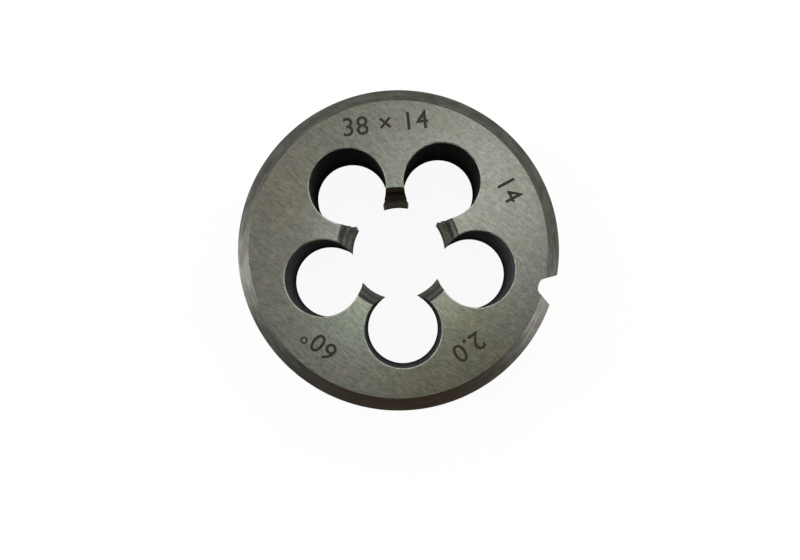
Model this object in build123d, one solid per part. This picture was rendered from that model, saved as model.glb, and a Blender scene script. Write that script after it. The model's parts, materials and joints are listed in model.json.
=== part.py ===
"""Round threading die, M14 x 2, on a 38 x 14 mm blank.

One piece of hardened tool steel. The blank is turned: a disc with its rim chamfered on both
edges and a bore whose ends open in lead-in cones. Five chip holes are drilled round the bore
and break into it, which leaves five cutting lands between them. A V-groove runs down the rim
in line with the first chip hole, and four conical dimples at mid-height take the stock's screws.

Millimetres. The origin is the centre of the back face, +Z runs along the axis to the marked
face, and +X points at the V-groove.
"""
from build123d import *
import os
from math import cos, radians, sin, sqrt, tan

# Blank
outer_diameter = 38.0
thickness = 14.0
rim_chamfer = 1.5

# Thread: the bore is cut to the root of the rod's finished thread, 17/24 of H under its crest
thread_diameter = 14.0
thread_pitch = 2.0
thread_depth = 17 / 24 * sqrt(3) / 2 * thread_pitch
minor_radius = thread_diameter / 2 - thread_depth

# Lead-in cones over about two threads, one at each face, so that either side can start the cut
lead_half_angle = 20.0
lead_clearance = 0.2
lead_mouth_radius = thread_diameter / 2 + lead_clearance
lead_depth = (lead_mouth_radius - minor_radius) / tan(radians(lead_half_angle))

# Chip holes: each one cuts into the bore and leaves a wall under the rim
chip_hole_count = 5
chip_hole_diameter = 9.0
chip_pitch_radius = 9.45

# V-groove in the rim, in line with the first chip hole
groove_angle = 60.0
groove_depth = 2.1
groove_floor_width = 1.3
groove_floor_fillet = 0.8

# Conical dimples for the stock's screws: a closing pair beside the groove and a holding pair
dimple_mouth_diameter = 5.0
dimple_angle = 90.0
closing_dimple_angle = 45.0
holding_dimple_angle = 80.0

# Cutters run past the surfaces that they cut by this much
cutter_overrun = 1.0


def turned_blank():
    """The turned ring: chamfered rim, plain bore and a lead-in cone at each face."""
    outer_radius = outer_diameter / 2
    face_radius = outer_radius - rim_chamfer
    half_section = Polyline(
        (lead_mouth_radius, 0),
        (face_radius, 0),
        (outer_radius, rim_chamfer),
        (outer_radius, thickness - rim_chamfer),
        (face_radius, thickness),
        (lead_mouth_radius, thickness),
        (minor_radius, thickness - lead_depth),
        (minor_radius, lead_depth),
        close=True,
    )
    return revolve(Plane.XZ * make_face(half_section), axis=Axis.Z)


def chip_holes():
    """The drilled chip holes, evenly spaced, with the first one on +X."""
    drill = Cylinder(
        chip_hole_diameter / 2,
        thickness + 2 * cutter_overrun,
        align=(Align.CENTER, Align.CENTER, Align.MIN),
    )
    drill = Pos(0, 0, -cutter_overrun) * drill
    return [place * drill for place in PolarLocations(chip_pitch_radius, chip_hole_count)]


def rim_groove():
    """The V-groove's cutter: a wedge with a rounded floor, through the whole thickness."""
    floor_x = outer_diameter / 2 - groove_depth
    mouth_x = outer_diameter / 2 + cutter_overrun
    half_floor = groove_floor_width / 2
    half_mouth = half_floor + (mouth_x - floor_x) * tan(radians(groove_angle / 2))
    wedge = make_face(
        Polyline(
            (floor_x, -half_floor),
            (mouth_x, -half_mouth),
            (mouth_x, half_mouth),
            (floor_x, half_floor),
            close=True,
        )
    )
    floor_corners = wedge.vertices().sort_by(Axis.X)[:2]
    wedge = fillet(floor_corners, groove_floor_fillet)
    return Pos(0, 0, -cutter_overrun) * extrude(wedge, thickness + 2 * cutter_overrun)


def screw_dimple(angle):
    """One conical dimple's cutter at mid-height, at an angle in degrees from the groove."""
    rise_per_run = tan(radians(dimple_angle / 2))
    depth = dimple_mouth_diameter / 2 / rise_per_run
    length = depth + cutter_overrun
    cone = Cone(0, length * rise_per_run, length, align=(Align.CENTER, Align.CENTER, Align.MIN))
    tip_radius = outer_diameter / 2 - depth
    direction = Vector(cos(radians(angle)), sin(radians(angle)), 0)
    tip = Plane(origin=tip_radius * direction + Vector(0, 0, thickness / 2), z_dir=direction)
    return tip * cone


def round_die():
    """The whole die as one solid."""
    die = turned_blank() - chip_holes() - rim_groove()
    for angle in (closing_dimple_angle, holding_dimple_angle):
        die -= [screw_dimple(angle), screw_dimple(-angle)]
    return die


os.makedirs("parts", exist_ok=True)
export_step(round_die(), "parts/round_die.step")
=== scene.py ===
"""Looks of a round threading die: one piece of tool steel, turned, drilled, threaded and marked."""

import json
import logging
from collections.abc import Iterator
from contextlib import contextmanager
from dataclasses import dataclass
from enum import Enum
from math import cos, pi, radians, sin, sqrt, tan

import bmesh
import bpy
from mathutils import Matrix, Vector


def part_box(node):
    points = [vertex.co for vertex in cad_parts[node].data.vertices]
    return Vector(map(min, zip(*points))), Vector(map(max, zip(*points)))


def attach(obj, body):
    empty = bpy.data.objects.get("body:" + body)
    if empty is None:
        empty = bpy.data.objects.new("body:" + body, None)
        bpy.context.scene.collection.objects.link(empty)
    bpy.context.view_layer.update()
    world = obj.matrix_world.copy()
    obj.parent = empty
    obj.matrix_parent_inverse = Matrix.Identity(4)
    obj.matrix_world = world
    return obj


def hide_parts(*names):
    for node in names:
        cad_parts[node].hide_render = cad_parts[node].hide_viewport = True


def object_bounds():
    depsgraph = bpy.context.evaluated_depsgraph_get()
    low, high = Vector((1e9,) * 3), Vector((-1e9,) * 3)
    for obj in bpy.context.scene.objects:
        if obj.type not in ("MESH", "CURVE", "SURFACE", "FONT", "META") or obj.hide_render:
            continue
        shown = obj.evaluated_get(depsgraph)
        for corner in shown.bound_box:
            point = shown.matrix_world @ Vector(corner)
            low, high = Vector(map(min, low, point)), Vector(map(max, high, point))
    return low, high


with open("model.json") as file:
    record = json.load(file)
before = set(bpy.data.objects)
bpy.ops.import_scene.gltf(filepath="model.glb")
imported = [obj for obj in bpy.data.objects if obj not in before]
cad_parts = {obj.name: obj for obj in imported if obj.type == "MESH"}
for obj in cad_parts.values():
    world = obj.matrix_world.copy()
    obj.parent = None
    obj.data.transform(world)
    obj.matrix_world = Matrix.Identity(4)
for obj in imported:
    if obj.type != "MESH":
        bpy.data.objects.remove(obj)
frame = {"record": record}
cad_low, cad_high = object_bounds()

LOG = logging.getLogger("round_die")

NODE = "round_die"
BODY = "root"

# The die is modelled in millimetres, and its finished mesh is brought to metres
MM = 0.001

Point = tuple[float, float]
Span = tuple[float, float]
Triple = tuple[float, float, float]
Inputs = dict[str | int, object]
Socket = bpy.types.NodeSocket
Ring = list[bmesh.types.BMVert]

WHITE: Triple = (1.0, 1.0, 1.0)
UNSTRETCHED: Triple = (1.0, 1.0, 1.0)


class Surface(Enum):
    """The kinds of surface on the die, in the order of its material slots."""

    GROUND = "ground_face"
    TURNED = "turned_rim"
    EDGE = "broken_edge"
    WALL = "drilled_wall"
    THREAD = "cut_thread"
    MARK = "burnt_mark"

    @property
    def slot(self) -> int:
        """The surface's material slot."""
        return list(Surface).index(self)

    @property
    def material(self) -> bpy.types.Material:
        """The material that the surface's finish has made."""
        return bpy.data.materials[self.value]


# ------------------------------------------------
# Node wiring
# ------------------------------------------------


def add_node(
    tree: bpy.types.NodeTree, kind: str, inputs: Inputs | None = None, **settings: object
) -> bpy.types.Node:
    """Adds a node to a shader tree or a geometry tree.

    Args:
        tree: The tree.
        kind: The node's type.
        inputs: Values or links by the input's name or number.
        settings: Attributes, which are set before the inputs.

    Returns:
        The new node.
    """
    node = tree.nodes.new(kind)
    for name, value in settings.items():
        setattr(node, name, value)
    for key, value in (inputs or {}).items():
        target = node.inputs[key]
        source = value.socket if isinstance(value, Wire) else value
        if isinstance(source, Socket):
            tree.links.new(source, target)
        elif target.type == "RGBA":
            target.default_value = (*source, 1.0)
        else:
            target.default_value = source
    return node


class Wire:
    """One number in a shader, which Python's operators turn into Math nodes."""

    def __init__(self, bench: "Bench", socket: Socket) -> None:
        """Wraps an output socket.

        Args:
            bench: The bench whose tree holds the socket.
            socket: The output that carries the number.
        """
        self.bench = bench
        self.socket = socket

    def maths(self, operation: str, *others: "Wire | float") -> "Wire":
        """Adds a Math node.

        Args:
            operation: The Math node's operation.
            others: The inputs that follow this number, in order.

        Returns:
            The node's result.
        """
        node = self.bench.node("ShaderNodeMath", dict(enumerate((self, *others))), operation=operation)
        return Wire(self.bench, node.outputs[0])

    def __add__(self, other: "Wire | float") -> "Wire":
        """Returns self + other."""
        return self.maths("ADD", other)

    def __sub__(self, other: "Wire | float") -> "Wire":
        """Returns self - other."""
        return self.maths("SUBTRACT", other)

    def __rsub__(self, other: float) -> "Wire":
        """Returns other - self."""
        return self.maths("MULTIPLY_ADD", -1.0, other)

    def __mul__(self, other: "Wire | float") -> "Wire":
        """Returns self * other."""
        return self.maths("MULTIPLY", other)

    def __pow__(self, other: float) -> "Wire":
        """Returns self to the power of other."""
        return self.maths("POWER", other)

    def __abs__(self) -> "Wire":
        """Returns self without its sign."""
        return self.maths("ABSOLUTE")

    __radd__ = __add__
    __rmul__ = __mul__

    def ramp(self, low: float, high: float) -> "Wire":
        """Eases the value from 0 at low to 1 at high.

        Args:
            low: The value that gives 0.
            high: The value that gives 1.

        Returns:
            The eased value.
        """
        inputs = {"Value": self, "From Min": low, "From Max": high}
        node = self.bench.node("ShaderNodeMapRange", inputs, interpolation_type="SMOOTHSTEP")
        return Wire(self.bench, node.outputs["Result"])


@dataclass(frozen=True)
class Noise:
    """Noise about 0.5: its patches' size in millimetres, and how they are drawn out and turned."""

    size: float
    detail: float = 2.0
    rough: float = 0.5
    warp: float = 0.0
    stretch: Triple = UNSTRETCHED
    turn: float = 0.0


class Bench:
    """A shader tree, with the few ways in which the finishes wire it."""

    def __init__(self, tree: bpy.types.NodeTree) -> None:
        """Clears a tree to work on.

        Args:
            tree: The tree of a material or a world.
        """
        self.tree = tree
        self.tree.nodes.clear()

    def node(self, kind: str, inputs: Inputs | None = None, **settings: object) -> bpy.types.Node:
        """Adds a node; see add_node."""
        return add_node(self.tree, kind, inputs, **settings)

    def place(self, stretch: Triple = UNSTRETCHED, turn: float = 0.0) -> Socket:
        """Gives the point on the piece in millimetres, for a pattern that may be turned and drawn out.

        Args:
            stretch: How far the pattern is drawn out along its own axes.
            turn: Degrees by which the pattern is turned about +Z.

        Returns:
            The point in the pattern's coordinates.
        """
        point = self.node("ShaderNodeTexCoord").outputs["Object"]
        scale = tuple(MM * share for share in stretch)
        inputs = {"Vector": point, "Rotation": (0.0, 0.0, radians(turn)), "Scale": scale}
        return self.node("ShaderNodeMapping", inputs, vector_type="TEXTURE").outputs[0]

    def noise(self, noise: Noise, place: Socket | None = None) -> Wire:
        """Adds noise.

        Args:
            noise: What the noise is like.
            place: Where it is read, in millimetres, if not at the point on the piece.

        Returns:
            The noise.
        """
        inputs = {
            "Vector": self.place(noise.stretch, noise.turn) if place is None else place,
            "Scale": 1 / noise.size,
            "Detail": noise.detail,
            "Roughness": noise.rough,
            "Distortion": noise.warp,
        }
        return Wire(self, self.node("ShaderNodeTexNoise", inputs, noise_dimensions="3D").outputs[0])

    def split(self, vector: Socket) -> tuple[Wire, ...]:
        """Returns the three parts of a vector."""
        parts = self.node("ShaderNodeSeparateXYZ", {0: vector}).outputs
        return tuple(Wire(self, part) for part in parts)

    def join(self, *parts: Wire | float) -> Socket:
        """Returns a vector of three parts."""
        return self.node("ShaderNodeCombineXYZ", dict(enumerate(parts))).outputs[0]

    def blend(self, share: Wire | float, first: object, second: object) -> Socket:
        """Mixes two colours.

        Args:
            share: How much of the second colour there is.
            first: A colour or its socket.
            second: A colour or its socket.

        Returns:
            The mixed colour.
        """
        return self.node("ShaderNodeMix", {0: share, 6: first, 7: second}, data_type="RGBA").outputs[2]

    def shade(self, colour: Socket, factor: Wire) -> Socket:
        """Returns a colour multiplied by a number."""
        return self.node("ShaderNodeVectorMath", {0: colour, "Scale": factor}, operation="SCALE").outputs[0]

    def spot(self, centre: Triple, radius: float, core: float = 0.3) -> Wire:
        """Marks a round spot on the piece.

        Args:
            centre: The spot's centre in millimetres.
            radius: Where the spot has faded to nothing.
            core: The share of the radius within which it doesn't fade.

        Returns:
            1 near the centre and 0 outside.
        """
        node = self.node("ShaderNodeVectorMath", {0: self.place(), 1: centre}, operation="DISTANCE")
        return 1 - Wire(self, node.outputs["Value"]).ramp(core * radius, radius)


# ------------------------------------------------
# Finishes: a span gives the values of a noise at which a change of colour starts and ends
# ------------------------------------------------

# The colour, the roughness and the relief of a surface
Pattern = tuple[Socket, Wire, Wire]


@dataclass(frozen=True)
class FilmAndShade:
    """A soft-edged, patchy colour over one part of a surface, used both for films of oil, tarnish or soot
    and for painted shade.
    """

    centre: Triple
    spread: float
    colour: Triple
    least: float = 0.3
    patchiness: float = 0.9


@dataclass(frozen=True)
class Finish:
    """A steel surface whose colour, roughness and relief vary over it."""

    surface: Surface
    metallic: float
    relief_depth: float
    roughness: float
    roughness_spread: float
    anisotropy: float = 0.0
    specular: float = 0.5
    films_and_shade: tuple[FilmAndShade, ...] = ()

    def build(self) -> None:
        """Makes the material, named after its surface."""
        material = bpy.data.materials.new(self.surface.value)
        material.use_nodes = True
        bench = Bench(material.node_tree)
        colour, roughness, relief = self.pattern(bench)
        depth = self.relief_depth * MM
        bump = bench.node("ShaderNodeBump", {"Strength": 1.0, "Distance": depth, "Height": relief})
        inputs = {
            "Base Color": colour,
            "Metallic": self.metallic,
            "Roughness": roughness,
            "Anisotropic": self.anisotropy,
            "Specular IOR Level": self.specular,
            "Normal": bump.outputs[0],
        }
        shader = bench.node("ShaderNodeBsdfPrincipled", inputs)
        bench.node("ShaderNodeOutputMaterial", {"Surface": shader.outputs[0]})

    def pattern(self, bench: Bench) -> Pattern:
        """Wires what varies over the surface.

        Args:
            bench: The material's bench.

        Returns:
            The colour, the roughness and the relief.
        """
        raise NotImplementedError

    def filmed_and_shaded(self, bench: Bench, colour: Socket, patches: Wire) -> Socket:
        """Lays the surface's films and painted shade over a colour.

        Args:
            bench: The material's bench.
            colour: The colour under the films and painted shade.
            patches: Noise about 0.5 that makes the films and painted shade thick and thin.

        Returns:
            The colour with the films and painted shade on it.
        """
        # Some of these layers are painted shade, laid where the studio's light falls dimly
        for overlay in self.films_and_shade:
            share = bench.spot(overlay.centre, overlay.spread) * (overlay.least + patches * overlay.patchiness)
            colour = bench.blend(share, colour, overlay.colour)
        return colour

    def worn(self, patches: Wire) -> Wire:
        """Returns the roughness, which goes up and down with the patches."""
        return self.roughness + (patches - 0.5) * self.roughness_spread


@dataclass(frozen=True)
class GroundFace(Finish):
    """A face ground flat, with short slanting scratches over blotches of oil and tarnish."""

    surface: Surface = Surface.GROUND
    metallic: float = 1.0
    relief_depth: float = 0.008
    roughness: float = 0.26
    roughness_spread: float = 0.10
    scratch_roughness: float = 0.12
    steel: Triple = (0.165, 0.178, 0.159)
    olive: Triple = (0.159, 0.168, 0.137)
    rosy: Triple = (0.185, 0.167, 0.150)
    films_and_shade: tuple[FilmAndShade, ...] = (
        FilmAndShade((9.6, -11.2, 14.0), 12.0, (0.152, 0.153, 0.108)),
        FilmAndShade((-3.0, -9.0, 14.0), 6.5, (0.157, 0.180, 0.142)),
        FilmAndShade((-15.0, 3.0, 14.0), 6.0, (0.182, 0.170, 0.144)),
        FilmAndShade((-8.6, 0.4, 14.0), 4.0, (0.196, 0.206, 0.188)),
        FilmAndShade((6.6, -5.0, 14.0), 3.5, (0.172, 0.184, 0.142)),
    )
    scratch_angle: float = -15.5
    score_angle: float = scratch_angle - 22.0
    patches: Noise = Noise(2.4, detail=3.0, rough=0.55, warp=0.6)
    blushes: Noise = Noise(0.8, detail=3.0, rough=0.65, warp=0.4)
    clouds: Noise = Noise(0.90, rough=0.6, warp=0.3, stretch=(1.4, 1.0, 1.0), turn=scratch_angle)
    grain: Noise = Noise(0.40, detail=3.0, rough=0.85, stretch=(2.0, 1.0, 1.0), turn=scratch_angle)
    scratches: Noise = Noise(0.13, rough=0.6, stretch=(8.0, 1.0, 1.0), turn=scratch_angle)
    scores: Noise = Noise(0.26, detail=1.0, stretch=(30.0, 1.0, 1.0), turn=score_angle)
    olive_span: Span = (0.40, 0.66)
    rosy_span: Span = (0.48, 0.66)
    rosy_share: float = 0.7
    score_span: Span = (0.66, 0.76)
    base_shade: float = -0.18
    patch_shade: float = 0.34
    cloud_shade: float = 0.36
    grain_shade: float = 1.34
    scratch_shade: float = 0.32
    score_shade: float = 0.22

    def pattern(self, bench: Bench) -> Pattern:
        """Wires the tarnish and the grinding scratches.

        Args:
            bench: The material\'s bench.

        Returns:
            The colour, the roughness and the relief.
        """
        blotches = (self.patches, self.blushes, self.clouds)
        patches, blushes, clouds = (bench.noise(noise) for noise in blotches)
        lines = (self.grain, self.scratches, self.scores)
        grain, scratches, scores = (bench.noise(noise) for noise in lines)
        colour = bench.blend(patches.ramp(*self.olive_span), self.steel, self.olive)
        colour = bench.blend(blushes.ramp(*self.rosy_span) * self.rosy_share, colour, self.rosy)
        colour = self.filmed_and_shaded(bench, colour, patches)
        shade = patches * self.patch_shade + clouds * self.cloud_shade + grain * self.grain_shade
        shade = shade + scratches * self.scratch_shade + self.base_shade
        colour = bench.shade(colour, shade + scores.ramp(*self.score_span) * self.score_shade)
        roughness = self.worn(patches) + (scratches - 0.5) * self.scratch_roughness
        return colour, roughness, grain * 0.5 + scratches * 0.5


@dataclass(frozen=True)
class TurnedRim(Finish):
    """The rim with its chamfers, groove and dimples: rings left by turning, under patchy grime, and painted
    brown shade over the side that faces the dim part of the sky.
    """

    surface: Surface = Surface.TURNED
    metallic: float = 1.0
    relief_depth: float = 0.015
    roughness: float = 0.42
    roughness_spread: float = 0.16
    anisotropy: float = 0.4
    # Painted shade: a dark brown patch over the side of the rim that faces the dim part of the sky
    films_and_shade: tuple[FilmAndShade, ...] = (FilmAndShade((5.0, -17.4, 13.0), 17.0, (0.028, 0.0185, 0.0098), 0.3, 1.2),)
    dark: Triple = (0.034, 0.033, 0.0265)
    light: Triple = (0.060, 0.0585, 0.049)
    grimy: Triple = (0.029, 0.024, 0.0155)
    rings: Noise = Noise(0.24, rough=0.6)
    rings_up: float = 1.37
    rings_inward: float = 0.63
    ring_drift: float = 0.05
    patches: Noise = Noise(0.8, detail=3.0, rough=0.6, warp=0.3, stretch=(2.5, 2.5, 1.0))
    grime: Noise = Noise(0.9, detail=3.0, rough=0.6, warp=0.6, stretch=(2.0, 2.0, 1.0))
    light_span: Span = (0.28, 0.72)
    grime_span: Span = (0.54, 0.72)
    grime_share: float = 0.6
    base_shade: float = 0.14
    ring_shade: float = 1.8
    ring_relief: float = 0.85

    def pattern(self, bench: Bench) -> Pattern:
        """Wires the tool's rings, the grime and the painted brown shade.

        Args:
            bench: The material\'s bench.

        Returns:
            The colour, the roughness and the relief.
        """
        across, along, up = bench.split(bench.place())
        radius = (across * across + along * along) ** 0.5
        # The rings follow one another both up the rim and across its chamfers
        travel = up * self.rings_up - radius * self.rings_inward
        drift = (across * self.ring_drift, along * self.ring_drift)
        rings = bench.noise(self.rings, bench.join(travel, *drift))
        patches, grime = bench.noise(self.patches), bench.noise(self.grime)
        colour = bench.blend(patches.ramp(*self.light_span), self.dark, self.light)
        colour = self.filmed_and_shaded(bench, colour, patches)
        colour = bench.blend(grime.ramp(*self.grime_span) * self.grime_share, colour, self.grimy)
        colour = bench.shade(colour, self.base_shade + rings * self.ring_shade)
        return colour, self.worn(patches), rings * self.ring_relief + patches * (1 - self.ring_relief)


@dataclass(frozen=True)
class BrokenEdge(Finish):
    """Edges rubbed bright where their burrs were taken off, and brightened further as a painted highlight.
    """

    surface: Surface = Surface.EDGE
    metallic: float = 1.0
    relief_depth: float = 0.004
    roughness: float = 0.48
    roughness_spread: float = 0.16
    # Partly wear and partly painted highlight: the bright colour stands in for the edges catching the light
    # as well as for rubbed steel
    bright_wear_and_highlight: Triple = (0.28, 0.28, 0.25)
    dull: Triple = (0.16, 0.158, 0.132)
    patches: Noise = Noise(0.9, detail=3.0, rough=0.6)
    wear_and_highlight_span: Span = (0.35, 0.62)

    def pattern(self, bench: Bench) -> Pattern:
        """Wires the patchy brightness, which is partly wear and partly painted highlight.

        Args:
            bench: The material\'s bench.

        Returns:
            The colour, the roughness and the relief.
        """
        patches = bench.noise(self.patches)
        colour = bench.blend(patches.ramp(*self.wear_and_highlight_span), self.dull, self.bright_wear_and_highlight)
        return colour, self.worn(patches), patches


@dataclass(frozen=True)
class DrilledWall(Finish):
    """Walls of the chip holes, black from hardening, with painted light that makes them palest at mid-height
    and painted shade over two of the holes, whose walls face the dim side of the sky.
    """

    surface: Surface = Surface.WALL
    metallic: float = 0.0
    relief_depth: float = 0.012
    roughness: float = 0.52
    roughness_spread: float = 0.2
    specular: float = 0.0
    # Painted shade: dark grey spots over the walls of the two holes whose walls face the dim side of the sky
    films_and_shade: tuple[FilmAndShade, ...] = (
        FilmAndShade((4.2, 13.2, 8.0), 14.0, (0.011, 0.011, 0.011), 0.6, 0.4),
        FilmAndShade((-11.3, 8.1, 8.0), 14.0, (0.011, 0.011, 0.011), 0.6, 0.4),
    )
    black: Triple = (0.030, 0.032, 0.034)
    blued: Triple = (0.043, 0.049, 0.055)
    half_depth: float = 7.0
    patches: Noise = Noise(1.2, detail=3.0, rough=0.6, warp=0.4)
    marks: Noise = Noise(0.22, rough=0.6, stretch=(6.0, 6.0, 1.0))
    blued_span: Span = (0.32, 0.75)
    painted_shade_at_faces: float = 0.68
    painted_light_at_mid_height: float = 1.5
    mark_relief: float = 0.7

    def pattern(self, bench: Bench) -> Pattern:
        """Wires the scale, the painted shade over two holes, the painted light that brightens the walls
        towards mid-height, and the drill's marks.

        Args:
            bench: The material\'s bench.

        Returns:
            The colour, the roughness and the relief.
        """
        up = bench.split(bench.place())[2]
        # Painted light: the colour is darkest at both faces and brightest at mid-height, standing in for
        # light deep in the holes
        mid_height_light = 1 - abs(up - self.half_depth) * (1 / self.half_depth)
        patches, marks = bench.noise(self.patches), bench.noise(self.marks)
        colour = bench.blend(patches.ramp(*self.blued_span), self.black, self.blued)
        colour = self.filmed_and_shaded(bench, colour, patches)
        colour = bench.shade(colour, self.painted_shade_at_faces + mid_height_light * self.painted_light_at_mid_height)
        return colour, self.worn(patches), marks * self.mark_relief + patches * (1 - self.mark_relief)


@dataclass(frozen=True)
class CutThread(Finish):
    """The thread and its lead-in cones: cut steel browned by hardening, with painted shade along the
    thread's roots and over some of its lands, and painted light along its crests.
    """

    surface: Surface = Surface.THREAD
    metallic: float = 0.1
    relief_depth: float = 0.006
    roughness: float = 0.40
    roughness_spread: float = 0.2
    specular: float = 0.0
    # Painted shade: a dark brown spot over the top land, which faces the dim side of the sky, and a grey one
    # that darkens the lower lands, which face the bright side
    films_and_shade: tuple[FilmAndShade, ...] = (
        FilmAndShade((-1.95, 6.1, 13.0), 5.5, (0.016, 0.011, 0.0075), 1.0, 0.0),
        FilmAndShade((2.0, -6.2, 13.0), 9.0, (0.040, 0.040, 0.036), 0.9, 0.0),
    )
    pitch: float = 2.0
    brown: Triple = (0.040, 0.036, 0.029)
    grey: Triple = (0.080, 0.082, 0.073)
    patches: Noise = Noise(1.1, detail=3.0, rough=0.6, warp=0.3)
    marks: Noise = Noise(0.10, rough=0.6, stretch=(8.0, 8.0, 1.0))
    grey_span: Span = (0.36, 0.66)
    crest_span: Span = (0.16, 0.40)
    painted_root_shade: float = 0.58
    painted_crest_light: float = 0.80

    def pattern(self, bench: Bench) -> Pattern:
        """Wires the tarnish, the painted shade in the roots with painted light on the crests, the painted
        shade over the lands and the marks along the thread.

        Args:
            bench: The material\'s bench.

        Returns:
            The colour, the roughness and the relief.
        """
        across, along, up = bench.split(bench.place())
        # Whole numbers of turns lie along the bottom of the groove, and halves along the crests
        turns = up * (1 / self.pitch) - along.maths("ARCTAN2", across) * (0.5 / pi)
        # Painted shade and light: the colour is darkened along the roots of the thread and lightened along
        # its crests
        crest_share = turns.maths("PINGPONG", 0.5).ramp(*self.crest_span)
        patches, marks = bench.noise(self.patches), bench.noise(self.marks)
        colour = bench.blend(patches.ramp(*self.grey_span), self.brown, self.grey)
        colour = self.filmed_and_shaded(bench, colour, patches)
        colour = bench.shade(colour, self.painted_root_shade + crest_share * self.painted_crest_light)
        return colour, self.worn(patches), marks


@dataclass(frozen=True)
class BurntMark(Finish):
    """The floors of the size marks, burnt dark."""

    surface: Surface = Surface.MARK
    metallic: float = 0.0
    relief_depth: float = 0.01
    roughness: float = 0.62
    roughness_spread: float = 0.2
    specular: float = 0.3
    soot: Triple = (0.009, 0.0085, 0.004)
    scorched: Triple = (0.024, 0.023, 0.012)
    patches: Noise = Noise(0.35, detail=3.0, rough=0.6)
    scorched_span: Span = (0.40, 0.75)

    def pattern(self, bench: Bench) -> Pattern:
        """Wires the uneven burn.

        Args:
            bench: The material\'s bench.

        Returns:
            The colour, the roughness and the relief.
        """
        patches = bench.noise(self.patches)
        colour = bench.blend(patches.ramp(*self.scorched_span), self.soot, self.scorched)
        return colour, self.worn(patches), patches


# ------------------------------------------------
# Mesh making
# ------------------------------------------------


def add_object(name: str, data: bpy.types.ID) -> bpy.types.Object:
    """Puts an object in the scene, at the origin.

    Args:
        name: The object's name.
        data: Its mesh, text, lamp or camera.

    Returns:
        The new object.
    """
    item = bpy.data.objects.new(name, data)
    bpy.context.scene.collection.objects.link(item)
    return item


def plain_mesh(item: bpy.types.Object) -> bpy.types.Mesh:
    """Returns a new mesh of an object as its modifiers leave it."""
    graph = bpy.context.evaluated_depsgraph_get()
    return bpy.data.meshes.new_from_object(item.evaluated_get(graph))


def discard(item: bpy.types.Object) -> None:
    """Deletes an object that was only a tool."""
    bpy.data.objects.remove(item, do_unlink=True)


@contextmanager
def reworked(mesh: bpy.types.Mesh) -> Iterator[bmesh.types.BMesh]:
    """Opens a mesh for a change to its points, edges and faces, and puts them back.

    Args:
        mesh: The mesh, which may be empty.

    Returns:
        The mesh in the making, for a with block.
    """
    work = bmesh.new()
    work.from_mesh(mesh)
    yield work
    work.to_mesh(mesh)
    work.free()


def rounded_corner(
    before: Point, corner: Point, after: Point, radius: float, flats: int, margin: float = 0.0
) -> list[Point]:
    """Rounds one corner of an outline.

    Args:
        before: The corner before it.
        corner: The corner.
        after: The corner after it.
        radius: The rounding's radius.
        flats: The number of flats that make up the arc.
        margin: How far from each end of the arc one more point lies, to hold the shading of the
            straight that follows, or 0 for none.

    Returns:
        The points in the outline's order.
    """
    here = Vector(corner)
    back = (Vector(before) - here).normalized()
    ahead = (Vector(after) - here).normalized()
    half = back.angle(ahead) / 2
    reach = radius / tan(half)
    centre = here + (back + ahead).normalized() * radius / sin(half)
    first = here + back * reach - centre
    last = here + ahead * reach - centre
    swing = pi - 2 * half
    arc = [
        tuple(centre + (first * sin(swing * (1 - share)) + last * sin(swing * share)) / sin(swing))
        for share in (step / flats for step in range(flats + 1))
    ]
    if not margin:
        return arc
    return [tuple(here + back * (reach + margin)), *arc, tuple(here + ahead * (reach + margin))]


@dataclass(frozen=True)
class Turning:
    """A solid of revolution about +Z: its outline in (radius, height), and each band's surface."""

    name: str
    outline: list[Point]
    surfaces: list[Surface]
    steps: int

    def build(self) -> bpy.types.Object:
        """Turns the outline into a closed mesh.

        Returns:
            The turned object.
        """
        mesh = bpy.data.meshes.new(self.name)
        for surface in Surface:
            mesh.materials.append(surface.material)
        with reworked(mesh) as work:
            rings = [self.ring(work, radius, height) for radius, height in self.outline]
            for place, surface in enumerate(self.surfaces):
                self.band(work, rings[place], rings[(place + 1) % len(rings)], surface.slot)
            bmesh.ops.recalc_face_normals(work, faces=work.faces)
        return add_object(self.name, mesh)

    def ring(self, work: bmesh.types.BMesh, radius: float, height: float) -> Ring:
        """Adds the ring of one outline point.

        Args:
            work: The mesh in the making.
            radius: The point's radius, or 0 for a point on the axis.
            height: The point's height.

        Returns:
            The ring's points, or the one point on the axis.
        """
        if radius == 0:
            return [work.verts.new((0, 0, height))]
        angles = [2 * pi * step / self.steps for step in range(self.steps)]
        return [work.verts.new((radius * cos(angle), radius * sin(angle), height)) for angle in angles]

    def band(self, work: bmesh.types.BMesh, lower: Ring, upper: Ring, slot: int) -> None:
        """Adds the faces between two rings, as triangles where one of them is a point.

        Args:
            work: The mesh in the making.
            lower: The first ring.
            upper: The second ring.
            slot: The material slot of the faces.
        """
        if len(lower) == len(upper) == 1:
            return
        for step in range(self.steps):
            following = (step + 1) % self.steps
            corners = [lower[step % len(lower)], lower[following % len(lower)]]
            corners += [upper[following % len(upper)], upper[step % len(upper)]]
            work.faces.new(list(dict.fromkeys(corners))).material_index = slot


def prism(name: str, outline: list[Point], low: float, high: float, surface: Surface) -> bpy.types.Object:
    """Stands an outline up along +Z as a closed solid.

    Args:
        name: The object's name.
        outline: The outline in (x, y).
        low: The height of its underside.
        high: The height of its top.
        surface: The surface all over it.

    Returns:
        The new object.
    """
    mesh = bpy.data.meshes.new(name)
    mesh.materials.append(surface.material)
    with reworked(mesh) as work:
        floor = [work.verts.new((x, y, low)) for x, y in outline]
        roof = [work.verts.new((x, y, high)) for x, y in outline]
        work.faces.new(floor)
        work.faces.new(roof)
        for place in range(len(outline)):
            following = (place + 1) % len(outline)
            work.faces.new((floor[place], floor[following], roof[following], roof[place]))
        bmesh.ops.recalc_face_normals(work, faces=work.faces)
    return add_object(name, mesh)


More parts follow.
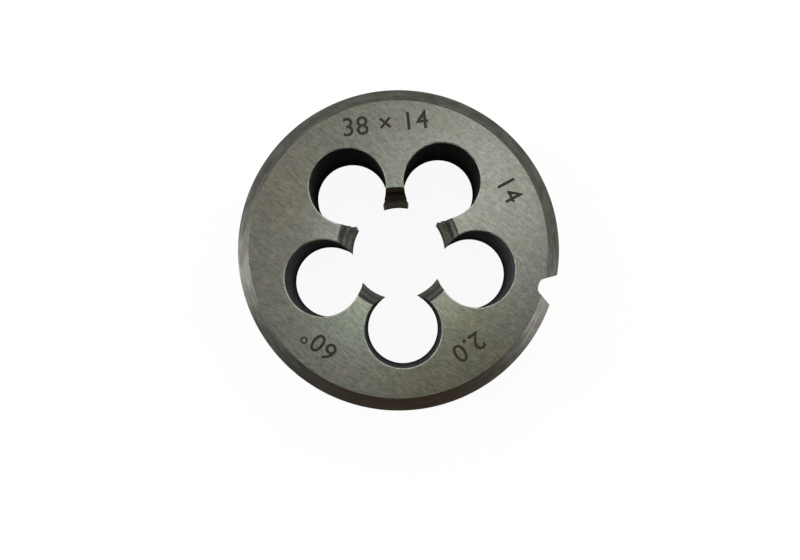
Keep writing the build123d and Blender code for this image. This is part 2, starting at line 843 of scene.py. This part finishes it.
class GeometryTree:
    """A Geometry Nodes tree with named inputs, whose result is kept as a plain mesh."""

    def __init__(self, name: str) -> None:
        """Starts an empty tree.

        Args:
            name: The tree's name.
        """
        self.tree = bpy.data.node_groups.new(name, "GeometryNodeTree")
        self.tree.interface.new_socket("Geometry", in_out="OUTPUT", socket_type="NodeSocketGeometry")
        self.entry = self.tree.nodes.new("NodeGroupInput")
        self.values: dict[str, object] = {}

    def entry_for(self, name: str, kind: str, value: object) -> Socket:
        """Adds a named input.

        Args:
            name: The input's name.
            kind: Its socket type, such as Float.
            value: What the modifier gives it.

        Returns:
            The input inside the tree.
        """
        socket = self.tree.interface.new_socket(name, in_out="INPUT", socket_type="NodeSocket" + kind)
        self.values[socket.identifier] = value
        return self.entry.outputs[name]

    def node(
        self, kind: str, inputs: Inputs | None = None, output: str | int = 0, **settings: object
    ) -> Socket:
        """Adds a node; see add_node.

        Args:
            kind: The node's type.
            inputs: Values or links by the input's name or number.
            output: The output that is wanted, by name or number.
            settings: Attributes, which are set before the inputs.

        Returns:
            The wanted output.
        """
        return add_node(self.tree, kind, inputs, **settings).outputs[output]

    def maths(self, operation: str, *operands: object) -> Socket:
        """Returns the result of a Math node."""
        return self.node("ShaderNodeMath", dict(enumerate(operands)), operation=operation)

    def build(self, shape: Socket, material: Socket, where: Socket | bool = True) -> bpy.types.Object:
        """Ends the tree by making its shape real and dressing it, and runs it once.

        Args:
            shape: The tree's geometry.
            material: What it is dressed in.
            where: The faces that are dressed.

        Returns:
            An object with the result as its plain mesh, and no modifier.
        """
        real = self.node("GeometryNodeRealizeInstances", {"Geometry": shape})
        dress = {"Geometry": real, "Selection": where, "Material": material}
        dressed = self.node("GeometryNodeSetMaterial", dress)
        self.tree.links.new(dressed, self.tree.nodes.new("NodeGroupOutput").inputs[0])
        host = add_object(self.tree.name, bpy.data.meshes.new(self.tree.name))
        modifier = host.modifiers.new(self.tree.name, "NODES")
        modifier.node_group = self.tree
        for identifier, value in self.values.items():
            modifier[identifier] = value
        mesh = plain_mesh(host)
        host.modifiers.clear()
        host.data = mesh
        return host


# ------------------------------------------------
# The blank and what is cut into it, in millimetres
# ------------------------------------------------


@dataclass(frozen=True)
class Blank:
    """The turned ring before anything is cut into it."""

    outer_radius: float
    thickness: float
    rim_chamfer: float
    bore_radius: float
    mouth_radius: float
    lead_depth: float
    rim_break: float = 0.10
    mouth_break: float = 0.06
    margin: float = 0.07
    flats: int = 3
    steps: int = 360

    def build(self) -> bpy.types.Object:
        """Turns the ring: chamfered rim, plain bore and a lead-in cone at each face.

        Returns:
            The ring.
        """
        top = self.thickness
        face_radius = self.outer_radius - self.rim_chamfer
        ground, turned, thread = Surface.GROUND, Surface.TURNED, Surface.THREAD
        # Each corner has its break's radius and the surface that follows it
        corners = [
            ((self.mouth_radius, 0.0), self.mouth_break, ground),
            ((face_radius, 0.0), self.rim_break, turned),
            ((self.outer_radius, self.rim_chamfer), self.rim_break, turned),
            ((self.outer_radius, top - self.rim_chamfer), self.rim_break, turned),
            ((face_radius, top), self.rim_break, ground),
            ((self.mouth_radius, top), self.mouth_break, thread),
            ((self.bore_radius, top - self.lead_depth), self.mouth_break, thread),
            ((self.bore_radius, self.lead_depth), self.mouth_break, thread),
        ]
        outline: list[Point] = []
        surfaces: list[Surface] = []
        for number, (corner, radius, surface) in enumerate(corners):
            before, _, surface_before = corners[number - 1]
            after = corners[(number + 1) % len(corners)][0]
            outline += rounded_corner(before, corner, after, radius, self.flats, self.margin)
            broken = surface_before if surface is ground else surface
            surfaces += [surface_before] + [broken] * self.flats + [surface, surface]
        return Turning("blank", outline, surfaces, self.steps).build()


@dataclass(frozen=True)
class ChipHoles:
    """The ring of drilled chip holes, which open the bore and leave the cutting lands."""

    radius: float
    pitch_radius: float
    count: int
    thickness: float
    edge_break: float = 0.14
    margin: float = 0.10
    overrun: float = 1.0
    steps: int = 192
    level_limit: float = 0.1

    def drill(self) -> bpy.types.Object:
        """Makes one drill on the axis, flared at both faces to break the edges of its hole.

        Returns:
            The drill, dressed as a broken edge all over.
        """
        # The break is an arc of two flats, of which the outer one carries on past the face, and
        # the last point holds the shading of the wall
        knee = self.edge_break * (1 - cos(radians(45)))
        slope = (self.edge_break - knee) / knee
        half = [
            (self.radius + self.edge_break + self.overrun * slope, -self.overrun),
            (self.radius + knee, knee),
            (self.radius, self.edge_break),
            (self.radius, self.edge_break + self.margin),
        ]
        mirrored = [(radius, self.thickness - height) for radius, height in reversed(half)]
        outline = [(0.0, -self.overrun), *half, *mirrored, (0.0, self.thickness + self.overrun)]
        return Turning("drill", outline, [Surface.EDGE] * len(outline), self.steps).build()

    def build(self) -> bpy.types.Object:
        """Sets the drill round the axis, the first one on +X.

        Returns:
            All the drills as one cutter.
        """
        drill = self.drill()
        tree = GeometryTree("chip_holes")
        count = tree.entry_for("Count", "Int", self.count)
        pitch_radius = tree.entry_for("Pitch radius", "Float", self.pitch_radius)
        tool = tree.entry_for("Drill", "Object", drill)
        wall = tree.entry_for("Wall", "Material", Surface.WALL.material)
        circle = tree.node("GeometryNodeMeshCircle", {"Vertices": count, "Radius": pitch_radius})
        shape = tree.node("GeometryNodeObjectInfo", {"Object": tool}, "Geometry")
        ring = tree.node("GeometryNodeInstanceOnPoints", {"Points": circle, "Instance": shape})
        # A face whose normal lies level is the hole's wall, and the rest is its broken edge
        normal = tree.node("GeometryNodeInputNormal")
        lift = tree.node("ShaderNodeVectorMath", {0: normal}, operation="ABSOLUTE")
        steep = tree.node("ShaderNodeSeparateXYZ", {0: lift}, "Z")
        cutter = tree.build(ring, wall, tree.maths("LESS_THAN", steep, self.level_limit))
        discard(drill)
        return cutter


@dataclass(frozen=True)
class Thread:
    """The right-hand thread of the bore, as the helical groove that is cut out of it."""

    major_radius: float
    pitch: float
    thickness: float
    overrun: float = 2.0
    reach: float = 1.45
    flank_angle: float = 60.0
    root_share: float = 1 / 8
    steps_per_turn: int = 128

    def build(self) -> bpy.types.Object:
        """Winds the groove's section up the axis, past both faces.

        Returns:
            The cutter.
        """
        tree = GeometryTree("thread")
        pitch = tree.entry_for("Pitch", "Float", self.pitch)
        turns = tree.entry_for("Turns", "Float", (self.thickness + 2 * self.overrun) / self.pitch)
        root = tree.entry_for("Root radius", "Float", self.major_radius)
        reach = tree.entry_for("Reach", "Float", self.reach)
        start = tree.entry_for("Start", "Float", -self.overrun)
        steps = tree.entry_for("Steps for each turn", "Int", self.steps_per_turn)
        material = tree.entry_for("Steel", "Material", Surface.THREAD.material)
        spiral = {
            "Resolution": steps,
            "Rotations": turns,
            "Start Radius": root,
            "End Radius": root,
            "Height": tree.maths("MULTIPLY", pitch, turns),
            "Reverse": True,
        }
        helix = tree.node("GeometryNodeCurveSpiral", spiral)
        level = tree.node("GeometryNodeSetCurveNormal", {"Curve": helix}, mode="Z_UP")
        # A groove whose flat root is a share of the pitch, opening towards the axis
        half_root = tree.maths("MULTIPLY", pitch, self.root_share / 2)
        half_mouth = tree.maths("MULTIPLY_ADD", reach, tan(radians(self.flank_angle / 2)), half_root)
        inward = tree.maths("MULTIPLY", reach, -1.0)
        corners = [
            (inward, tree.maths("MULTIPLY", half_mouth, -1.0)),
            (0.0, tree.maths("MULTIPLY", half_root, -1.0)),
            (0.0, half_root),
            (inward, half_mouth),
        ]
        points = {
            f"Point {number}": tree.node("ShaderNodeCombineXYZ", {0: x, 1: y})
            for number, (x, y) in enumerate(corners, 1)
        }
        section = tree.node("GeometryNodeCurvePrimitiveQuadrilateral", points, mode="POINTS")
        sweep = {"Curve": level, "Profile Curve": section, "Fill Caps": True}
        groove = tree.node("GeometryNodeCurveToMesh", sweep)
        drop = tree.node("ShaderNodeCombineXYZ", {2: start})
        lowered = tree.node("GeometryNodeTransform", {"Geometry": groove, "Translation": drop})
        return tree.build(lowered, material)


@dataclass(frozen=True)
class RimGroove:
    """The V-groove down the rim, with its rounded floor, on +X."""

    outer_radius: float
    floor_radius: float
    thickness: float
    angle: float = 60.0
    floor_width: float = 1.3
    floor_fillet: float = 0.8
    overrun: float = 1.0
    flats: int = 6

    def build(self) -> bpy.types.Object:
        """Makes the groove's wedge.

        Returns:
            The cutter.
        """
        mouth_x = self.outer_radius + self.overrun
        half_floor = self.floor_width / 2
        half_mouth = half_floor + (mouth_x - self.floor_radius) * tan(radians(self.angle / 2))
        mouth = [(mouth_x, -half_mouth), (mouth_x, half_mouth)]
        floor = [(self.floor_radius, half_floor), (self.floor_radius, -half_floor)]
        outline = [
            *mouth,
            *rounded_corner(mouth[1], floor[0], floor[1], self.floor_fillet, self.flats),
            *rounded_corner(floor[0], floor[1], mouth[0], self.floor_fillet, self.flats),
        ]
        low, high = -self.overrun, self.thickness + self.overrun
        return prism("rim_groove", outline, low, high, Surface.TURNED)


@dataclass(frozen=True)
class ScrewDimples:
    """The conical dimples round the rim that take the stock's screws."""

    outer_radius: float
    height: float
    angles: tuple[float, ...]
    mouth_radius: float
    depth: float
    overrun: float = 1.0
    steps: int = 96

    def build(self) -> list[bpy.types.Object]:
        """Makes a cone for each dimple, its tip towards the axis.

        Returns:
            The cutters.
        """
        spread = self.mouth_radius * (self.depth + self.overrun) / self.depth
        outline = [(0.0, 0.0), (spread, self.depth + self.overrun), (0.0, self.depth + self.overrun)]
        cutters = []
        for angle in self.angles:
            cone = Turning("screw_dimple", outline, [Surface.TURNED] * 3, self.steps).build()
            swing = Matrix.Rotation(radians(angle), 4, "Z")
            seat = Matrix.Translation((self.outer_radius - self.depth, 0.0, self.height))
            cone.data.transform(swing @ seat @ Matrix.Rotation(radians(90), 4, "Y"))
            cutters.append(cone)
        return cutters


@dataclass(frozen=True)
class SizeMark:
    """One of the die's sizes on its front face, read with its top towards the rim."""

    text: str
    radius: float
    angle: float


@dataclass(frozen=True)
class SizeMarks:
    """The size marks on the front face."""

    marks: tuple[SizeMark, ...]
    face_height: float
    digit_height: float = 2.2
    stroke_growth: float = 0.006
    spacing: float = 1.06
    depth: float = 0.05
    merge_distance: float = 0.0001

    def build(self) -> list[bpy.types.Object]:
        """Makes a cutter for each mark, which reaches as far above the face as below it.

        Returns:
            The cutters.
        """
        sample = self.outline("0", 0.0)
        scale = self.digit_height / sample.dimensions.y
        discard(sample)
        cutters = []
        for mark in self.marks:
            curve = self.outline(mark.text, self.depth / scale)
            mesh = plain_mesh(curve)
            discard(curve)
            turn = Matrix.Rotation(radians(mark.angle - 90), 4, "Z")
            seat = Matrix.Translation((0.0, mark.radius, self.face_height))
            mesh.transform(turn @ seat @ Matrix.Scale(scale, 4))
            self.close(mesh)
            mesh.materials.clear()
            mesh.materials.append(Surface.MARK.material)
            cutters.append(add_object("size_mark", mesh))
        return cutters

    def outline(self, text: str, half_thickness: float) -> bpy.types.Object:
        """Sets a text in the plain built-in face.

        Args:
            text: The text.
            half_thickness: How far it reaches up and down, in the text's own units.

        Returns:
            The text object.
        """
        curve = bpy.data.curves.new("size_mark", "FONT")
        curve.body = text
        curve.align_x = "CENTER"
        curve.align_y = "CENTER"
        curve.offset = self.stroke_growth
        curve.space_character = self.spacing
        curve.extrude = half_thickness
        item = add_object("size_mark", curve)
        bpy.context.view_layer.update()
        return item

    def close(self, mesh: bpy.types.Mesh) -> None:
        """Merges a text mesh's doubled points and turns its faces outwards.

        Args:
            mesh: The text's mesh.
        """
        with reworked(mesh) as work:
            bmesh.ops.remove_doubles(work, verts=work.verts, dist=self.merge_distance)
            bmesh.ops.recalc_face_normals(work, faces=work.faces)


# ------------------------------------------------
# The die
# ------------------------------------------------


def mount(name: str) -> dict:
    """Returns one of the record's mounts."""
    return next(item for item in frame["record"]["mounts"] if item["name"] == name)


@dataclass(frozen=True)
class RoundDie:
    """The whole die as one piece of tool steel; its outer sizes come from the frame."""

    outer_radius: float
    thickness: float
    rim_chamfer: float = 1.5
    thread_diameter: float = 14.0
    thread_pitch: float = 2.0
    lead_clearance: float = 0.2
    lead_half_angle: float = 20.0
    chip_hole_count: int = 5
    chip_hole_diameter: float = 9.0
    chip_pitch_radius: float = 9.45
    sharp_angle: float = 30.0
    weld_distance: float = 0.002

    @classmethod
    def from_frame(cls) -> "RoundDie":
        """Returns the die with the outer sizes that its CAD node has."""
        low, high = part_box(NODE)
        return cls(outer_radius=-low[0] / MM, thickness=high[2] / MM)

    @property
    def bore_radius(self) -> float:
        """The thread's minor radius: 17/24 of the thread's full height under the major one."""
        return self.thread_diameter / 2 - 17 / 24 * sqrt(3) / 2 * self.thread_pitch

    def blank(self) -> Blank:
        """Works out the turned ring.

        Returns:
            The ring.
        """
        mouth_radius = self.thread_diameter / 2 + self.lead_clearance
        lead_depth = (mouth_radius - self.bore_radius) / tan(radians(self.lead_half_angle))
        return Blank(
            self.outer_radius, self.thickness, self.rim_chamfer, self.bore_radius, mouth_radius, lead_depth
        )

    def dimples(self) -> ScrewDimples:
        """Works out the dimples, each one at the place of its mount.

        Returns:
            The dimples.
        """
        mounts = [item for item in frame["record"]["mounts"] if item["name"].endswith(("_left", "_right"))]
        directions = [Vector(item["axis"][:2]) for item in mounts]
        angles = tuple(self.bearing(direction) for direction in directions)
        sizes = mounts[0]["dims"]
        return ScrewDimples(self.outer_radius, self.thickness / 2, angles, sizes["r_mm"], sizes["length_mm"])

    @staticmethod
    def bearing(direction: Vector) -> float:
        """Returns a direction's angle from +X, anticlockwise in degrees."""
        return -Vector((1.0, 0.0)).angle_signed(direction) * 180 / pi

    def marks(self) -> SizeMarks:
        """Works out the marks, which give the blank, the thread and its flank angle.

        Returns:
            The marks.
        """
        marks = (
            SizeMark(f"{2 * self.outer_radius:.0f} × {self.thickness:.0f}", 14.7, 110.7),
            SizeMark(f"{self.thread_diameter:.0f}", 14.6, 42.9),
            SizeMark(f"{self.thread_pitch:.1f}", 14.0, -39.9),
            SizeMark(f"{Thread.flank_angle:.0f}°", 14.35, -115.0),
        )
        return SizeMarks(marks, self.thickness)

    def build(self) -> bpy.types.Object:
        """Cuts the blank, dresses it and puts it in the frame.

        Returns:
            The finished piece.
        """
        groove_floor = mount("rim_groove")["pos_m"][0] / MM
        holes = ChipHoles(
            self.chip_hole_diameter / 2, self.chip_pitch_radius, self.chip_hole_count, self.thickness
        )
        cutters = [
            Thread(self.thread_diameter / 2, self.thread_pitch, self.thickness).build(),
            holes.build(),
            RimGroove(self.outer_radius, groove_floor, self.thickness).build(),
            *self.dimples().build(),
            *self.marks().build(),
        ]
        die = self.blank().build()
        for cutter in cutters:
            self.cut(die, cutter)
            LOG.info("cut %s: %d faces", cutter.name, len(die.data.polygons))
            discard(cutter)
        self.weld(die.data)
        self.shade(die.data)
        die.data.transform(Matrix.Scale(MM, 4))
        die.name = die.data.name = "die_body"
        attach(die, BODY)
        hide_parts(NODE)
        return die

    def cut(self, die: bpy.types.Object, cutter: bpy.types.Object) -> None:
        """Takes a cutter's shape out of the die, whose new faces get the cutter's materials.

        Args:
            die: The die so far.
            cutter: What is cut out of it.
        """
        modifier = die.modifiers.new("cut", "BOOLEAN")
        modifier.operation = "DIFFERENCE"
        modifier.solver = "MANIFOLD"
        modifier.material_mode = "TRANSFER"
        modifier.object = cutter
        mesh = plain_mesh(die)
        die.modifiers.clear()
        die.data = mesh

    def weld(self, mesh: bpy.types.Mesh) -> None:
        """Welds the slivers that the cuts leave, in triangles, and reports any edge that is open.

        Args:
            mesh: The cut mesh.
        """
        with reworked(mesh) as work:
            bmesh.ops.remove_doubles(work, verts=work.verts, dist=self.weld_distance)
            bmesh.ops.dissolve_degenerate(work, dist=self.weld_distance, edges=work.edges)
            bmesh.ops.dissolve_verts(work, verts=[vert for vert in work.verts if len(vert.link_edges) == 2])
            bmesh.ops.triangulate(work, faces=work.faces, quad_method="BEAUTY", ngon_method="BEAUTY")
            LOG.info("open edges: %d", sum(not edge.is_manifold for edge in work.edges))

    def shade(self, mesh: bpy.types.Mesh) -> None:
        """Shades the mesh smooth, apart from its sharp edges and the outline of its ground faces.

        Args:
            mesh: The finished mesh.
        """
        ground = [index for index, item in enumerate(mesh.materials) if item.name == Surface.GROUND.value]
        with reworked(mesh) as work:
            for face in work.faces:
                face.smooth = True
            for edge in work.edges:
                sides = {face.material_index in ground for face in edge.link_faces}
                edge.smooth = edge.calc_face_angle(0.0) < radians(self.sharp_angle) and len(sides) < 2


# ------------------------------------------------
# The studio, in metres, in axes that are level with the view and turned with it about +Z
# ------------------------------------------------

VIEW_TURN = Matrix.Rotation(radians(14.7), 4, "Z")


@dataclass(frozen=True)
class Softbox:
    """A rectangular lamp that is never seen itself."""

    name: str
    place: Triple
    width: float
    height: float
    radiance: float
    tint: Triple = WHITE

    def build(self, target: Vector) -> None:
        """Hangs the lamp and aims it.

        Args:
            target: What it is aimed at.
        """
        light = bpy.data.lights.new(self.name, "AREA")
        light.shape = "RECTANGLE"
        light.size = self.width
        light.size_y = self.height
        light.energy = self.radiance * pi * self.width * self.height
        light.color = self.tint
        lamp = add_object(self.name, light)
        place = Vector(self.place)
        aim = (target - place).to_track_quat("-Z", "Y").to_matrix().to_4x4()
        lamp.matrix_world = VIEW_TURN @ Matrix.Translation(place) @ aim
        lamp.visible_camera = False


@dataclass(frozen=True)
class Studio:
    """A pale floor, a plain pale sky, softboxes and the camera."""

    floor_size: float = 3.0
    floor_height: float = 0.00002
    floor_glow: float = 0.93
    floor_tone: float = 0.85
    ceiling_low: float = 0.10
    ceiling_high: float = 0.78
    ceiling_back: float = 0.73
    ceiling_left: float = 0.68
    ceiling_span: Span = (-0.35, 0.35)
    ceiling_warmth: float = 0.4
    zenith_span: Span = (0.55, 0.90)
    dark_side: float = 0.16
    dark_lift: float = 0.38
    dark_span: Span = (0.08, 0.45)
    bright_side: float = 2.7
    wear_and_highlight_span: Span = (-0.7, 0.1)
    shade_tint: Triple = (1.10, 1.0, 0.76)
    lens: float = 46.8
    sensor_width: float = 36.0
    camera_place: Triple = (0.00033, -0.00803, 0.1353)
    camera_pitch: float = 2.06
    camera_roll: float = 0.07
    clip_start: float = 0.005
    softboxes: tuple[Softbox, ...] = (
        Softbox("overhead", (0.034, 0.044, 0.30), 0.06, 0.06, 3.15),
        Softbox("near_lamp", (-0.0044, 0.0003, 0.164), 0.012, 0.012, 14.0),
        Softbox("left_strip", (-0.45, -0.022, 0.045), 0.06, 0.10, 94.0, (0.98, 1.0, 1.10)),
        Softbox("right_strip", (0.42, -0.168, 0.045), 0.06, 0.10, 59.0, (0.98, 1.0, 1.10)),
    )

    def build(self) -> None:
        """Builds the whole studio."""
        self.floor()
        self.sky()
        for softbox in self.softboxes:
            softbox.build(Vector((0.0, 0.0, cad_high[2])))
        self.camera()

    @staticmethod
    def rays(bench: Bench, *kinds: str) -> list[Wire]:
        """Returns a number for each kind of ray, which is 1 for such rays and 0 for the rest."""
        path = bench.node("ShaderNodeLightPath").outputs
        return [Wire(bench, path[kind]) for kind in kinds]

    def floor(self) -> None:
        """Lays the floor, which glows white to the eye, takes the die's shadow and is clear from below."""
        half, level = self.floor_size / 2, self.floor_height
        corners = [(-half, -half, level), (half, -half, level), (half, half, level), (-half, half, level)]
        mesh = bpy.data.meshes.new("floor")
        mesh.from_pydata(corners, [], [(0, 1, 2, 3)])
        floor = add_object("floor", mesh)
        material = bpy.data.materials.new("pale_floor")
        material.use_nodes = True
        bench = Bench(material.node_tree)
        paint = bench.node("ShaderNodeBsdfDiffuse", {"Color": (self.floor_tone,) * 3}).outputs[0]
        glow = bench.node("ShaderNodeEmission", {"Color": WHITE, "Strength": 1.0}).outputs[0]
        shown = sum(self.rays(bench, "Is Camera Ray", "Is Glossy Ray", "Is Transmission Ray"))
        mixed = bench.node("ShaderNodeMixShader", {0: shown * self.floor_glow, 1: paint, 2: glow}).outputs[0]
        below = Wire(bench, bench.node("ShaderNodeNewGeometry").outputs["Backfacing"])
        unseen = self.rays(bench, "Is Camera Ray")[0] * below
        clear = bench.node("ShaderNodeBsdfTransparent").outputs[0]
        whole = bench.node("ShaderNodeMixShader", {0: unseen, 1: mixed, 2: clear}).outputs[0]
        bench.node("ShaderNodeOutputMaterial", {"Surface": whole})
        mesh.materials.append(material)

    def sky(self) -> None:
        """Paints the world: white to the eye, with a bright side, a dim warm side and a grey ceiling."""
        world = bpy.data.worlds.new("studio_sky")
        bpy.context.scene.world = world
        world.use_nodes = True
        bench = Bench(world.node_tree)
        direction = bench.node("ShaderNodeTexCoord").outputs["Generated"]
        axes = {"Vector": direction, "Rotation": VIEW_TURN.to_euler()}
        turned = bench.node("ShaderNodeMapping", axes, vector_type="TEXTURE").outputs[0]
        right, back, height = bench.split(turned)
        lit = back.ramp(*self.wear_and_highlight_span)
        dark = height.ramp(*self.dark_span) * self.dark_lift + self.dark_side
        side = lit * self.bright_side + (1 - lit) * dark
        over = (back * self.ceiling_back - right * self.ceiling_left).ramp(*self.ceiling_span)
        ceiling = over * (self.ceiling_high - self.ceiling_low) + self.ceiling_low
        zenith = height.ramp(*self.zenith_span)
        sky = side * (1 - zenith) + ceiling * zenith
        straight = self.rays(bench, "Is Camera Ray")[0]
        strength = straight * (1 - sky) + sky
        warmth = (1 - lit) * (1 - zenith) + zenith * self.ceiling_warmth
        tint = bench.blend((1 - straight) * warmth, WHITE, self.shade_tint)
        glow = bench.node("ShaderNodeBackground", {"Color": tint, "Strength": strength}).outputs[0]
        bench.node("ShaderNodeOutputWorld", {"Surface": glow})

    def camera(self) -> None:
        """Sets up the camera."""
        data = bpy.data.cameras.new("camera")
        data.lens = self.lens
        data.sensor_width = self.sensor_width
        data.clip_start = self.clip_start
        camera = add_object("camera", data)
        tilt = Matrix.Rotation(radians(self.camera_pitch), 4, "X")
        tilt = tilt @ Matrix.Rotation(radians(self.camera_roll), 4, "Y")
        camera.matrix_world = VIEW_TURN @ Matrix.Translation(self.camera_place) @ tilt
        bpy.context.scene.camera = camera


def main() -> None:
    """Builds the die and its studio."""
    logging.basicConfig(level=logging.INFO, format="%(name)s: %(message)s")
    for finish in (GroundFace(), TurnedRim(), BrokenEdge(), DrilledWall(), CutThread(), BurntMark()):
        finish.build()
        LOG.info("finish: %s", finish.surface.value)
    die = RoundDie.from_frame().build()
    LOG.info("%s: %d faces", die.name, len(die.data.polygons))
    bpy.context.scene.view_settings.view_transform = "Standard"
    Studio().build()


if __name__ == "__main__":
    main()
